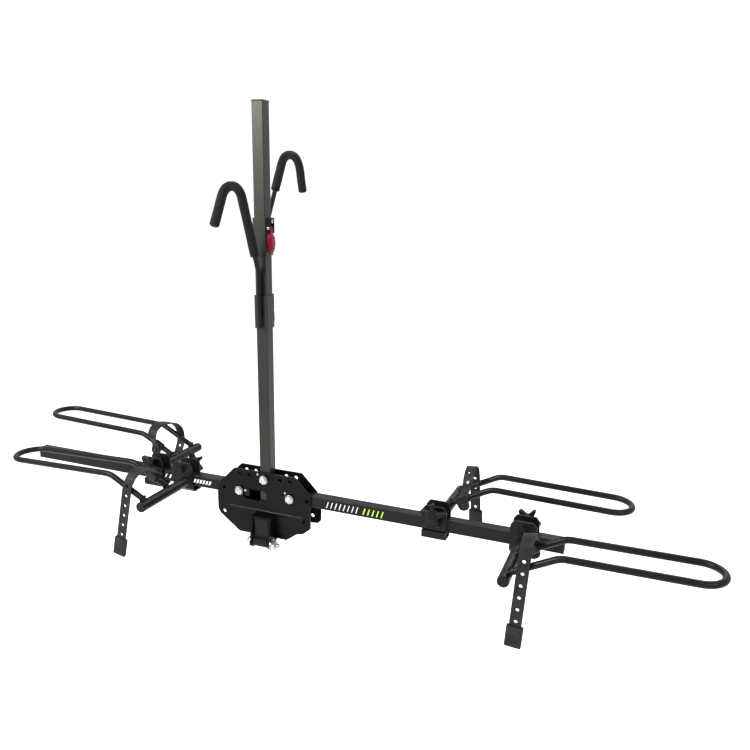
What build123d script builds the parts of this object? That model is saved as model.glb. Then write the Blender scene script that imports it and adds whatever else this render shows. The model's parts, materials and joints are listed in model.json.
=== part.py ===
from build123d import *
import math
import os

# A two-bicycle hitch rack: a square shank for a car's receiver, a pair of hub plates on a tilt pivot,
# a mast with two frame hooks, two folding arms, and four wheel holders that slide along the arms.
# It is drawn about the hub's centre, where the mast and the arms meet, and saved about the hitch pin.
# +X runs along the right arm, +Y points at the car, +Z is up.  Millimetres.

# --- driving dimensions -----------------------------------------------------------------------
TUBE = 25.4                # outside of the square mast and arms
TUBE_WALL = 2.0
MAST_TOP = 807.0
MAST_BOTTOM = -40.0
ARM_REACH = 635.0          # from the mast to the end of an arm
ARM_PIVOT_X = 62.0
ARM_INNER_X = 40.0

PLATE = 3.2                # thickness of a hub plate
PLATE_GAP = 26.2           # space between the two hub plates
HOLE_R = 4.3               # plain holes in the hub plates
MAST_BOLT_Z = 34.0
ARM_LOCK_X = 102.0         # hole for the pin that locks an unfolded arm
TOP_HOLES = [(38.0, 37.5), (61.5, 37.5)]
PLATE_CORNER_R = 6.0
BEAD_R = 4.0               # stamped bead across each hub plate
BEAD_Z = -41.0
BEAD_HALF = 92.0
WINDOW = (-54.0, 5.0, -17.0, 6.0)   # opening in the outer hub plate: x from and to, z from and to

SHANK = 31.75              # outside of the square shank
SHANK_WALL = 4.0
SHANK_Z = -80.0            # shank centre line, below the arms
HITCH_PIN_Y = 130.0        # hub plane to the hitch pin hole
HITCH_PIN_R = 6.75
SHANK_END_Y = 190.0
HEAD_REAR_Y = -34.0        # the shank head runs from here ...
HEAD_FRONT_Y = -2.0        # ... to here, where the shank tube starts
HEAD_TOP_Z = -52.5
HEAD_BOTTOM_Z = -97.5

TILT_Y = -32.0             # tilt pivot
TILT_Z = -108.0
TILT_BOLT_R = 5.0
BARREL_R = 8.5
BARREL_GAP = 0.7           # from each end of the pivot barrel to the channel's cheek
CHANNEL_HALF = 24.0        # outside half width of the tilt channel
CHANNEL_WALL = 4.9
CHANNEL_TOP_Z = -47.0
CHANNEL_WEB = 3.5
CHANNEL_REAR_Y = -37.0
CHEEK_R = 11.0

BOLT_R = 5.0               # mast and arm pivot bolts
BUSH_R = 8.0               # bush in each arm, round its pivot bolt
RUNNING_GAP = 0.05
WASHER_R = 9.8
TILT_WASHER_R = 12.0
TILT_FLATS = 20.0
TILT_HEAD = 10.0
TILT_TAIL = 7.0            # threaded end outside the tilt bolt's nut
NUT = 8.0
WASHER_T = 1.6
HEX_FLATS = 17.0
HEX_HEIGHT = 6.4

ROD = 12.7                 # hoop rod diameter
HOOP_WIDTH = 77.2          # between the centre lines of a hoop's two rods
HOOP_Y = 122.0             # middle of a hoop, out from the arm
HOOP_Z = 53.0
HOOP_LEG_X = 90.0          # the legs slope over this length
HOOP_FOOT_Z = 6.0
HOOP_BEND_R = 45.0
CROSS_R = 11.0             # cross tube of a wheel holder
CROSS_WALL = 2.0
CROSS_END_Y = 178.0

CLAMP_LENGTH = 51.0
CLAMP_WALL = 4.0
CLAMP_GAP = 0.4
CLAMP_SHELF_Z = -13.1
CLAMP_BOTTOM_Z = -29.0
CLAMP_STEP_Z = -20.0       # bottom of the box shelf on the cross tube's side
CLAMP_SHELL = 2.6          # wall of the box shelf
CLAMP_JAW_Z = -9.5         # lower edge of the jaw
CLAMP_SHOULDER_Z = 31.0
CLAMP_TOP_Z = 40.0
CLAMP_TIP_HALF = 19.0
CLAMP_BOLT_Z = 25.0
CLAMP_BOLT_R = 4.0
CLAMP_NUT_FLATS = 13.0
CLAMP_NUT = 6.5
KNOB_R = 26.0
KNOB_LOBES = 5
KNOB_DEPTH = 12.0
KNOB_CORE_R = 13.0
KNOB_TIP_R = 3.6           # half width of a lobe at its tip
KNOB_ROOT_HALF = 8.0       # half width of a lobe at the core
KNOB_HUB_R = 9.5
KNOB_HUB = 6.0             # length of the hub that bears on the jaw

STRAP_WIDTH = 22.0
STRAP_T = 3.0
STRAP_HOLE_R = 3.2
STRAP_PITCH = 23.0
STRAP_FIRST_HOLE = 9.0     # from the end block up to the first hole
COLLAR_R = 9.2             # the moulded collar that holds a strap on the hoop's inner leg
TONGUE_WIDTH = 25.0
TONGUE_LENGTH = 40.0
TONGUE_T = 4.5
END_WIDTH = 30.0           # grip at a strap's free end
END_LENGTH = 40.0
END_T = 9.0

SLEEVE = 30.0              # outside of a hook sleeve
SLEEVE_WALL = 2.0
HOOK_ROD_R = 4.7
FOAM_R = 9.0
FOAM_TIP = 4.0
LATCH_DEPTH = 10.0
LATCH_HALF = 9.0
PADDLE_HALF = 9.5          # the release lever's thumb paddle

# Each wheel holder: side of the mast, side of the arm (-1 faces away from the car, +1 faces it),
# clamp centre along X, cross tube offset from it, hoop reach past the tube, hoop rise in degrees,
# and the angle of one lobe of its knob.
HOLDERS = {
    "rear_left": (-1, -1, 212.0, -13.0, 377.0, -1.6, 0.0),
    "rear_right": (1, -1, 561.0, -2.0, 346.0, 0.5, 61.0),
    "front_left": (-1, 1, 293.0, 13.0, 391.0, 2.0, 54.0),
    "front_right": (1, 1, 384.0, 1.0, 362.0, -1.5, 90.0),
}

# Each wheel strap: its middle out from the cross tube, its lean outward in degrees, the holes in its
# hanging end, and the corners of its band as (out from the arm, height), from the collar to the end grip.
STRAPS = {
    "rear_left": {
        "offset": 40.0,
        "lean": 12.0,
        "holes": 4,
        "path": [(75.2, 14), (75.2, 38), (104, 50), (122, 60), (144, 65), (162, 57), (169, 42), (170.5, -88)],
    },
    "rear_right": {
        "offset": 31.0,
        "lean": -3.6,
        "holes": 4,
        "path": [(75.2, 12), (75.2, 34), (108, 52), (124, 72), (146, 80), (165, 66), (169.6, 40), (170.6, -85)],
    },
    "front_left": {
        "offset": 46.0,
        "lean": 0.0,
        "holes": 0,
        "path": [(75.2, 16), (72, 38), (58, 57), (66, 75), (88, 82), (114, 78), (147, 68), (170, 47), (174, 14),
                 (163, -6), (151, -26)],
    },
    "front_right": {
        "offset": 33.0,
        "lean": 2.4,
        "holes": 2,
        "path": [(75.2, 12), (75.2, 32), (112, 46), (122, 63), (146, 74), (166, 63), (174.5, 38), (180.5, -42)],
    },
}

# Each hook: corners of the rod's centre line as (distance out from the mast, height), its corner radii,
# where the foam starts on it, the side of the mast, the sleeve's ends, the face that its latch is on,
# and how far the latch sits to the side of that face's middle.
HOOKS = {
    "upper": {
        "side": 1,
        "path": [(19.8, 517.0), (19.8, 581.0), (92.5, 712.5), (155.9, 712.5), (176.0, 638.0)],
        "radii": [30.0, 40.0, 40.0],
        "foam_from": (56.0, 640.0),
        "sleeve": (513.0, 588.0),
        "latch_face": "right",
        "latch_shift": -6.0,
    },
    "lower": {
        "side": -1,
        "path": [(19.8, 368.0), (19.8, 477.0), (83.5, 648.3), (134.0, 648.3), (171.5, 580.0)],
        "radii": [30.0, 35.0, 35.0],
        "foam_from": (36.0, 513.0),
        "sleeve": (365.0, 433.0),
        "latch_face": "back",
        "latch_shift": 0.0,
    },
}


# --- helpers ----------------------------------------------------------------------------------
def block(x0, x1, y0, y1, z0, z1):
    centre = ((x0 + x1) / 2, (y0 + y1) / 2, (z0 + z1) / 2)
    return Pos(*centre) * Box(abs(x1 - x0), abs(y1 - y0), abs(z1 - z0))


def rod_x(y, z, radius, x0, x1):
    return Pos((x0 + x1) / 2, y, z) * Rot(0, 90, 0) * Cylinder(radius, abs(x1 - x0))


def rod_y(x, z, radius, y0, y1):
    return Pos(x, (y0 + y1) / 2, z) * Rot(90, 0, 0) * Cylinder(radius, abs(y1 - y0))


def hex_y(x, z, flats, y0, y1):
    # A hexagon with its corners turned off at both ends.
    depth = abs(y1 - y0)
    outline = RegularPolygon(flats / 2, 6, major_radius=False)
    blank = Pos(0, 0, depth / 2) * Cylinder(flats * 0.577, depth)
    turned = chamfer(blank.edges().filter_by(GeomType.CIRCLE), flats * 0.05)
    return Pos(x, max(y0, y1), z) * Rot(90, 0, 0) * (extrude(outline, amount=depth) & turned)


def square_tube_z(size, wall, z0, z1):
    half = size / 2
    bore = half - wall
    tube = block(-half, half, -half, half, z0, z1) - block(-bore, bore, -bore, bore, z0, z1)
    outer = [e for e in tube.edges().filter_by(Axis.Z) if abs(e.center().X) > bore + 0.1]
    return fillet(outer, min(wall * 0.9, 1.8))


def plug(size, wall, depth, cap):
    # A moulded end plug: a thin cap and a hollow spigot, closed end at +Z, seated at z = 0.
    body = Pos(0, 0, cap / 2) * Box(size, size, cap)
    body = chamfer(body.faces().sort_by(Axis.Z)[-1].edges(), 1.0)
    spigot_size = size - 2 * wall - 0.2
    body += Pos(0, 0, -depth / 2) * Box(spigot_size, spigot_size, depth)
    return body - Pos(0, 0, -depth / 2 - 1) * Box(spigot_size - 4, spigot_size - 4, depth)


def round_sweep(path, radius):
    start = path @ 0
    section = Plane(start, z_dir=path % 0) * Circle(radius)
    return sweep(section, path=path)


def save(name, shape):
    shape = Pos(0, -HITCH_PIN_Y, -SHANK_Z) * shape
    solids = shape.solids()
    shape = solids[0] if len(solids) == 1 else Compound(children=solids)
    export_step(shape, f"parts/{name}.step")


# --- shank and hub ----------------------------------------------------------------------------
def shank_tube():
    half = SHANK / 2
    bore = half - SHANK_WALL
    tube = block(-half, half, HEAD_FRONT_Y, SHANK_END_Y, SHANK_Z - half, SHANK_Z + half)
    tube = fillet(tube.edges().filter_by(Axis.Y), 3.0)
    tube -= block(-bore, bore, HEAD_FRONT_Y, SHANK_END_Y, SHANK_Z - bore, SHANK_Z + bore)
    return tube - rod_x(HITCH_PIN_Y, SHANK_Z, HITCH_PIN_R, -half, half)


def shank_head():
    # The block at the shank's outer end, with the pivot barrel under it and a stop pad on top.
    half = SHANK / 2
    head = block(-half, half, HEAD_REAR_Y, HEAD_FRONT_Y, HEAD_BOTTOM_Z, HEAD_TOP_Z)
    head = fillet(head.edges().filter_by(Axis.Y), 2.0)
    neck = block(-half, half, TILT_Y - BARREL_R, TILT_Y + BARREL_R, TILT_Z, HEAD_BOTTOM_Z + 1)
    barrel_half = CHANNEL_HALF - CHANNEL_WALL - BARREL_GAP
    barrel = rod_x(TILT_Y, TILT_Z, BARREL_R, -barrel_half, barrel_half)
    pad_top = CHANNEL_TOP_Z - CHANNEL_WEB - 0.1
    pad = block(-12, 12, TILT_Y + 4, HEAD_FRONT_Y - 4, HEAD_TOP_Z - 1, pad_top)
    bore = rod_x(TILT_Y, TILT_Z, TILT_BOLT_R + RUNNING_GAP, -CHANNEL_HALF, CHANNEL_HALF)
    return head + neck + barrel + pad - bore


def tilt_channel():
    # An upturned channel through both hub plates; its cheeks carry the tilt bolt.
    front_y = PLATE_GAP / 2 + PLATE
    cheek_outline = Polyline(
        (front_y, CHANNEL_TOP_Z),
        (front_y, HEAD_BOTTOM_Z),
        (TILT_Y + CHEEK_R, TILT_Z - 2),
        (TILT_Y, TILT_Z - 2),
        (TILT_Y - CHEEK_R, TILT_Z - 2),
        (CHANNEL_REAR_Y, CHANNEL_TOP_Z),
        close=True,
    )
    outline = Plane.YZ.offset(-CHANNEL_HALF) * make_face(cheek_outline)
    side = extrude(outline, amount=2 * CHANNEL_HALF)
    side += rod_x(TILT_Y, TILT_Z, CHEEK_R, -CHANNEL_HALF, CHANNEL_HALF)
    inner = CHANNEL_HALF - CHANNEL_WALL
    side -= block(-inner, inner, -60, 30, -130, CHANNEL_TOP_Z - CHANNEL_WEB)
    return side - rod_x(TILT_Y, TILT_Z, TILT_BOLT_R + 0.02, -CHANNEL_HALF, CHANNEL_HALF)


def tilt_bolt():
    # Its nut and threaded end are on the right cheek.
    nut_end = CHANNEL_HALF + WASHER_T + TILT_HEAD
    bolt = rod_x(TILT_Y, TILT_Z, TILT_BOLT_R, -CHANNEL_HALF - WASHER_T - 1, nut_end + TILT_TAIL)
    turn = Pos(0, TILT_Y, TILT_Z) * Rot(0, 0, 90)
    for side, depth in ((1, TILT_HEAD), (-1, NUT)):
        face = side * CHANNEL_HALF
        bolt += rod_x(TILT_Y, TILT_Z, TILT_WASHER_R, face, face + side * WASHER_T)
        head = hex_y(0, 0, TILT_FLATS, 0, -side * depth)
        bolt += turn * Pos(0, -face - side * WASHER_T, 0) * head
    return bolt


def plate_outline(side):
    # Both plates have the same top; their lower corners differ, and each has a notch for the channel.
    right_top = [(75, 49.5), (112, 12.5)]
    left_top = [(-x, z) for x, z in reversed(right_top)]
    wide_foot = [(119.5, -12), (119.5, -53), (114, -63), (66, -98.5)]
    narrow_foot = [(110, -12), (110, -62), (92, -77), (78, -80), (52, -98.5)]
    short_foot = [(121, -12), (121, -52), (114, -59.5), (92, -61), (60, -90)]
    if side < 0:
        right_foot, left_foot = narrow_foot, wide_foot
    else:
        right_foot, left_foot = short_foot, short_foot
    notch = [(CHANNEL_HALF, right_foot[-1][1]), (CHANNEL_HALF, CHANNEL_TOP_Z)]
    mirrored_notch = [(-CHANNEL_HALF, CHANNEL_TOP_Z), (-CHANNEL_HALF, left_foot[-1][1])]
    return right_top + right_foot + notch + mirrored_notch + [(-x, z) for x, z in reversed(left_foot)] + left_top


def plate_holes(side):
    holes = [(0, MAST_BOLT_Z, BOLT_R + 0.1)]
    for x in (-1, 1):
        holes.append((x * ARM_PIVOT_X, 0, BOLT_R + 0.1))
        holes.append((x * ARM_LOCK_X, 0, HOLE_R))
        holes += [(x * hole_x, hole_z, HOLE_R) for hole_x, hole_z in TOP_HOLES]
    if side < 0:
        holes += [(-103.5, -57.0, HOLE_R), (94.0, -48.0, HOLE_R)]
    else:
        holes += [(-101.2, -43.6, HOLE_R), (101.2, -43.6, HOLE_R)]
    return holes


def hub_plate(side):
    near = side * PLATE_GAP / 2
    far = near + side * PLATE
    outline = Plane.XZ * make_face(Polyline(*plate_outline(side), close=True))
    plate = extrude(outline, amount=PLATE)
    plate = Pos(0, max(near, far), 0) * plate
    corners = [e for e in plate.edges().filter_by(Axis.Y) if abs(e.center().X) > CHANNEL_HALF + 1]
    plate = fillet(corners, PLATE_CORNER_R)
    # A stamped bead stiffens the plate above the shank.
    bead = rod_x(0, 0, BEAD_R, -BEAD_HALF, BEAD_HALF)
    bead += Pos(-BEAD_HALF, 0, 0) * Sphere(BEAD_R) + Pos(BEAD_HALF, 0, 0) * Sphere(BEAD_R)
    bead = Pos(0, far - side * 1.2, BEAD_Z) * bead
    plate += bead - block(-200, 200, near - side * 20, near + side * PLATE * 0.9, BEAD_Z - 20, BEAD_Z + 20)
    for x, z, radius in plate_holes(side):
        plate -= rod_y(x, z, radius, near - side, far + side)
    if side < 0:
        # The outer plate has a window in front of the mast's foot, with a lip folded out of its lower edge.
        x0, x1, z0, z1 = WINDOW
        window = block(x0, x1, near - side, far + side, z0, z1)
        plate -= fillet(window.edges().filter_by(Axis.Y), 8.0)
        lip = block(x0 + 7, x1 - 22, far, far - 4.0, z0 - 2.6, z0)
        plate += fillet(lip.edges().filter_by(Axis.Z).group_by(Axis.Y)[0], 3.0)
    return plate


def bolt_y(x, z, shaft_r, flats, head_height, washer_r):
    # A bolt through both hub plates: head on the outer (-Y) side, washers, and a nut on the car side.
    outer = PLATE_GAP / 2 + PLATE
    bolt = rod_y(x, z, shaft_r, -outer, outer + NUT + 5)
    bolt += rod_y(x, z, washer_r, -outer, -outer - WASHER_T)
    bolt += hex_y(x, z, flats, -outer - WASHER_T, -outer - WASHER_T - head_height)
    bolt += rod_y(x, z, washer_r, outer, outer + WASHER_T)
    bolt += hex_y(x, z, flats, outer + WASHER_T, outer + WASHER_T + NUT)
    return bolt


def arm_pivot_bolts():
    bolts = []
    for side in (-1, 1):
        bolt = bolt_y(side * ARM_PIVOT_X, 0, BOLT_R, HEX_FLATS, HEX_HEIGHT, WASHER_R)
        # The outer washer has a locking tab that points at the mast.
        outer = -PLATE_GAP / 2 - PLATE
        x = side * (ARM_PIVOT_X - WASHER_R)
        bolt += block(x - 6, x + 6, outer, outer - WASHER_T, -3, 4)
        bolts.append(bolt)
    return Compound(children=bolts)


def arm_stop_spacers():
    # Round spacers between the plates; an unfolded arm rests on one.
    radius = 7.5
    spacers = []
    for side in (-1, 1):
        x = side * 94.0
        z = -TUBE / 2 - radius - 0.15
        spacer = rod_y(x, z, radius, -PLATE_GAP / 2, PLATE_GAP / 2)
        spacers.append(spacer - rod_y(x, z, 4.0, -PLATE_GAP / 2, PLATE_GAP / 2))
    return Compound(children=spacers)


def mast_tube():
    tube = square_tube_z(TUBE, TUBE_WALL, MAST_BOTTOM, MAST_TOP)
    return tube - rod_y(0, MAST_BOLT_Z, BOLT_R + 0.1, -TUBE, TUBE)


def mast_cap():
    return Pos(0, 0, MAST_TOP) * plug(TUBE, TUBE_WALL, 14, 3)


def arm_tube(side):
    tube = Rot(0, 90, 0) * square_tube_z(TUBE, TUBE_WALL, ARM_INNER_X, ARM_REACH)
    if side < 0:
        tube = mirror(tube, about=Plane.YZ)
    tube -= rod_y(side * ARM_PIVOT_X, 0, BUSH_R, -TUBE, TUBE)
    return tube - rod_y(side * ARM_LOCK_X, 0, HOLE_R, -TUBE, TUBE)


def arm_bush(side):
    x = side * ARM_PIVOT_X
    bush = rod_y(x, 0, BUSH_R, -TUBE / 2, TUBE / 2)
    return bush - rod_y(x, 0, BOLT_R + RUNNING_GAP, -TUBE / 2, TUBE / 2)


def arm_plug(side):
    shape = Pos(ARM_REACH, 0, 0) * Rot(0, 90, 0) * plug(TUBE, TUBE_WALL, 14, 3)
    return shape if side > 0 else mirror(shape, about=Plane.YZ)


# --- wheel holders ----------------------------------------------------------------------------
# A holder is drawn for the right-hand arm with its hoop on the +Y side, its clamp centre at x = 0,
# and then placed, mirrored where it belongs on the other side.
def clamp_wall(y_low, foot_z):
    half = CLAMP_LENGTH / 2
    right = [(half, foot_z), (half, CLAMP_SHOULDER_Z), (CLAMP_TIP_HALF, CLAMP_TOP_Z)]
    left = [(-x, z) for x, z in reversed(right)]
    outline = Plane.XZ * make_face(Polyline(*right, *left, close=True))
    wall = Pos(0, y_low + CLAMP_WALL, 0) * extrude(outline, amount=CLAMP_WALL)
    upper = [e for e in wall.edges().filter_by(Axis.Y) if e.center().Z > 0]
    wall = fillet(upper, 4.0)
    return wall - rod_y(0, CLAMP_BOLT_Z, CLAMP_BOLT_R + 0.2, y_low - 1, y_low + CLAMP_WALL + 1)


def shelf_outline(inset):
    # Cross-section of the box shelf, shallower on the cross tube's side; inset gives its hollow.
    outer = TUBE / 2 + CLAMP_GAP + CLAMP_WALL - inset
    low = CLAMP_BOTTOM_Z + inset
    high = CLAMP_SHELF_Z - inset
    step = CLAMP_STEP_Z + inset
    return [(-outer, high), (-outer, low), (outer / 2, low), (outer, step), (outer, high)]


def clamp_bracket():
    # The fixed half: a box shelf under the arm and the wall that carries the cross tube and the nut.
    inner = TUBE / 2 + CLAMP_GAP
    outer = inner + CLAMP_WALL
    half = CLAMP_LENGTH / 2
    section = Plane.YZ.offset(-half) * make_face(Polyline(*shelf_outline(0), close=True))
    shelf = extrude(section, amount=CLAMP_LENGTH)
    lower = [e for e in shelf.edges().filter_by(Axis.X) if e.center().Z < CLAMP_SHELF_Z - 1]
    shelf = fillet(lower, 1.8)
    hollow = Plane.YZ.offset(-half) * make_face(Polyline(*shelf_outline(CLAMP_SHELL), close=True))
    shelf -= extrude(hollow, amount=CLAMP_LENGTH)
    wall = clamp_wall(inner, CLAMP_SHELF_Z - 0.5)
    nut = hex_y(0, CLAMP_BOLT_Z, CLAMP_NUT_FLATS, outer, outer + CLAMP_NUT)
    nut -= rod_y(0, CLAMP_BOLT_Z, CLAMP_BOLT_R + RUNNING_GAP, outer - 1, outer + CLAMP_NUT + 1)
    return shelf + wall + nut


def clamp_jaw():
    return clamp_wall(-TUBE / 2 - CLAMP_GAP - CLAMP_WALL, CLAMP_JAW_Z)


def clamp_bolt():
    outer = TUBE / 2 + CLAMP_GAP + CLAMP_WALL
    return rod_y(0, CLAMP_BOLT_Z, CLAMP_BOLT_R, -outer - KNOB_HUB, outer + CLAMP_NUT + 2.5)


def clamp_knob(lobe_angle):
    # A moulded star knob with a hub that bears on the jaw.
    tip_at = KNOB_R - KNOB_TIP_R
    lobe = Polygon(
        (0, -KNOB_ROOT_HALF), (tip_at, -KNOB_TIP_R), (tip_at, KNOB_TIP_R), (0, KNOB_ROOT_HALF), align=None
    )
    lobe += Pos(tip_at, 0) * Circle(KNOB_TIP_R)
    star = Circle(KNOB_CORE_R)
    for i in range(KNOB_LOBES):
        star += Rot(0, 0, lobe_angle + i * 360 / KNOB_LOBES) * lobe
    body = extrude(star, amount=KNOB_DEPTH)
    body = fillet(body.edges().filter_by(Axis.Z), 1.5)
    body = chamfer(body.faces().sort_by(Axis.Z)[-1].edges(), 1.2)
    hub_align = (Align.CENTER, Align.CENTER, Align.MIN)
    body += Pos(0, 0, KNOB_DEPTH) * Cylinder(KNOB_HUB_R - 1.5, 2.0, align=hub_align)
    body += Pos(0, 0, -KNOB_HUB) * Cylinder(KNOB_HUB_R, KNOB_HUB, align=hub_align)
    jaw_face = TUBE / 2 + CLAMP_GAP + CLAMP_WALL
    knob = Pos(0, -jaw_face - KNOB_HUB - 0.3, CLAMP_BOLT_Z) * Rot(90, 0, 0) * body
    return knob - rod_y(0, CLAMP_BOLT_Z, CLAMP_BOLT_R, -jaw_face - KNOB_HUB, -jaw_face)


def cross_tube(tube_x):
    start = TUBE / 2 + CLAMP_GAP + CLAMP_WALL
    tube = rod_y(tube_x, 0, CROSS_R, start, CROSS_END_Y)
    return tube - rod_y(tube_x, 0, CROSS_R - CROSS_WALL, start, CROSS_END_Y)


def tube_plug(tube_x):
    cap = rod_y(tube_x, 0, CROSS_R, CROSS_END_Y, CROSS_END_Y + 3.5)
    cap = fillet(cap.edges().sort_by(Axis.Y)[-1:], 2.0)
    spigot = rod_y(tube_x, 0, CROSS_R - CROSS_WALL - 0.1, CROSS_END_Y - 14, CROSS_END_Y)
    return cap + spigot - rod_y(tube_x, 0, CROSS_R - CROSS_WALL - 2, CROSS_END_Y - 15, CROSS_END_Y - 1)


def hoop_path(reach, rise):
    # From the foot on the cross tube, up the sloping leg, out, round the end and back.
    lift = math.tan(math.radians(rise))
    foot = Vector(0, -HOOP_WIDTH / 2, HOOP_FOOT_Z)
    bend = Vector(HOOP_LEG_X, -HOOP_WIDTH / 2, HOOP_Z)
    end_x = reach - HOOP_WIDTH / 2
    end = Vector(end_x, -HOOP_WIDTH / 2, HOOP_Z + lift * (end_x - HOOP_LEG_X))
    tip = Vector(reach, 0, HOOP_Z + lift * (reach - HOOP_LEG_X))
    across = [Vector(v.X, -v.Y, v.Z) for v in (foot, bend, end)]
    near_leg = FilletPolyline(foot, bend, end, radius=HOOP_BEND_R)
    far_leg = FilletPolyline(across[2], across[1], across[0], radius=HOOP_BEND_R)
    return Wire(near_leg.edges() + ThreePointArc(end, tip, across[2]).edges() + far_leg.edges())


def hoop(tube_x, reach, rise):
    rod = round_sweep(hoop_path(reach, rise), ROD / 2)
    rod = Pos(tube_x, HOOP_Y, 0) * rod
    # The feet are cut where they meet the cross tube.
    return rod - rod_y(tube_x, 0, CROSS_R + 0.02, 0, CROSS_END_Y + 2)


def soft_radii(points):
    # The largest arc that the two runs at each corner allow.
    radii = []
    for before, corner, after in zip(points, points[1:], points[2:]):
        turn = (corner - before).get_angle(after - corner)
        shorter = min((corner - before).length, (after - corner).length)
        radii.append(0.45 * shorter / math.tan(math.radians(turn) / 2))
    return radii


def leg_axis(offset):
    # The plane square to the hoop's inner leg, that far out from the cross tube.
    rise = (HOOP_Z - HOOP_FOOT_Z) / HOOP_LEG_X
    place = Vector(offset, HOOP_Y - HOOP_WIDTH / 2, HOOP_FOOT_Z + rise * offset)
    return Plane(place, x_dir=(0, 1, 0), z_dir=(1, 0, rise))


def strap_root(offset):
    # The collar on the inner leg and the rounded tongue that hangs from it.
    leg = leg_axis(offset)
    collar = extrude(leg * Circle(COLLAR_R), amount=STRAP_WIDTH / 2, both=True)
    slope = math.degrees(math.atan2(leg.z_dir.Z, leg.z_dir.X))
    outline = Rot(0, 0, slope) * Pos(0, -7.0) * RectangleRounded(TONGUE_WIDTH, TONGUE_LENGTH - 8, 10.0)
    face_y = leg.origin.Y - ROD / 2 - 0.2
    tongue = Plane.XZ * Pos(leg.origin.X, leg.origin.Z) * outline
    tongue = Pos(0, face_y, 0) * extrude(tongue, amount=TONGUE_T)
    return collar + tongue


def strap_hole(path, along):
    # A hole square to the band, that far back from the band's end.
    place = path @ (1 - along / path.length)
    heading = path % (1 - along / path.length)
    across = Plane(place, x_dir=(1, 0, 0), z_dir=Vector(1, 0, 0).cross(heading))
    return extrude(across * Circle(STRAP_HOLE_R), amount=STRAP_T * 2, both=True)


def strap(name, tube_x):
    # Held on the hoop's inner leg, it springs over both legs and ends in a grip outside the outer leg.
    shape = STRAPS[name]
    offset = shape["offset"]
    points = [Vector(offset, y, z) for y, z in shape["path"]]
    path = FilletPolyline(*points, radius=soft_radii(points))
    section = Plane(path @ 0, x_dir=(1, 0, 0), z_dir=path % 0) * Rectangle(STRAP_WIDTH, STRAP_T)
    band = sweep(section, path=path, transition=Transition.RIGHT)
    for i in range(shape["holes"]):
        band -= strap_hole(path, STRAP_FIRST_HOLE + i * STRAP_PITCH)
    grip = extrude(Plane(path @ 1, x_dir=(1, 0, 0), z_dir=path % 1) * Rectangle(END_WIDTH, END_T), amount=END_LENGTH)
    band += fillet(grip.edges(), 2.0)
    leg = leg_axis(offset)
    pivot = Pos(offset, 0, leg.origin.Z)
    band = pivot * Rot(0, -shape["lean"], 0) * pivot.inverse() * band
    rod = extrude(leg * Circle(ROD / 2 + RUNNING_GAP), amount=STRAP_WIDTH * 2, both=True)
    return Pos(tube_x, 0, 0) * (band + strap_root(offset) - rod)


def holder_parts(name):
    side, face, clamp_x, tube_offset, reach, rise, lobe_angle = HOLDERS[name]
    shapes = {
        "clamp_bracket": clamp_bracket(),
        "clamp_jaw": clamp_jaw(),
        "clamp_bolt": clamp_bolt(),
        "clamp_knob": clamp_knob(lobe_angle),
        "cross_tube": cross_tube(tube_offset),
        "tube_plug": tube_plug(tube_offset),
        "wheel_hoop": hoop(tube_offset, reach, rise),
        "wheel_strap": strap(name, tube_offset),
    }
    for part, shape in shapes.items():
        shape = Pos(clamp_x, 0, 0) * shape
        if side < 0:
            shape = mirror(shape, about=Plane.YZ)
        if face < 0:
            shape = mirror(shape, about=Plane.XZ)
        save(f"{name}_{part}", shape)


# --- frame hooks ------------------------------------------------------------------------------
def hook_path(hook):
    points = [Vector(0, hook["side"] * y, z) for y, z in hook["path"]]
    return FilletPolyline(*points, radius=hook["radii"])


def hook_sleeve(hook):
    low, high = hook["sleeve"]
    return square_tube_z(SLEEVE, SLEEVE_WALL, low, high)


def hook_rod(hook):
    return round_sweep(hook_path(hook), HOOK_ROD_R)


def hook_foam(hook):
    path = hook_path(hook)
    covered = path.trim(foam_start(path, hook), 1.0)
    foam = round_sweep(covered, FOAM_R)
    tip = path @ 1
    heading = (path % 1).normalized()
    foam += extrude(Plane(tip, z_dir=heading) * Circle(FOAM_R), amount=FOAM_TIP)
    return foam - round_sweep(path, HOOK_ROD_R + 0.02)


def foam_start(path, hook):
    # The place along the rod, from 0 to 1, that lies nearest to the foam's lower end.
    y, z = hook["foam_from"]
    goal = Vector(0, hook["side"] * y, z)
    steps = [i / 400 for i in range(400)]
    return min(steps, key=lambda t: (path @ t - goal).length)


def on_latch_face(hook, shape):
    # Latch pieces are drawn on the sleeve's +X face and turned to the face they belong on.
    shape = Pos(0, hook["latch_shift"], 0) * shape
    return shape if hook["latch_face"] == "right" else Rot(0, 0, 90) * shape


def latch_bracket(hook):
    face = SLEEVE / 2
    top = hook["sleeve"][1]
    ear = 2.2
    back = block(face, face + 2, -LATCH_HALF, LATCH_HALF, top - 30, top)
    bracket = back
    for y in (-LATCH_HALF, LATCH_HALF - ear):
        bracket += block(face, face + LATCH_DEPTH, y, y + ear, top - 30, top)
    bracket += block(face, face + LATCH_DEPTH, -LATCH_HALF, LATCH_HALF, top - 2.2, top)
    pivot_z = latch_pivot(hook)
    reach = LATCH_HALF + 1.2
    bracket += rod_y(face + 6.0, pivot_z, 1.8, -reach, reach)
    return on_latch_face(hook, bracket)


def latch_pivot(hook):
    return hook["sleeve"][1] - 20.0


def lever_slab(outline, half):
    profile = Plane.XZ * make_face(Polyline(*outline, close=True))
    return Pos(0, half, 0) * extrude(profile, amount=2 * half)


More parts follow.
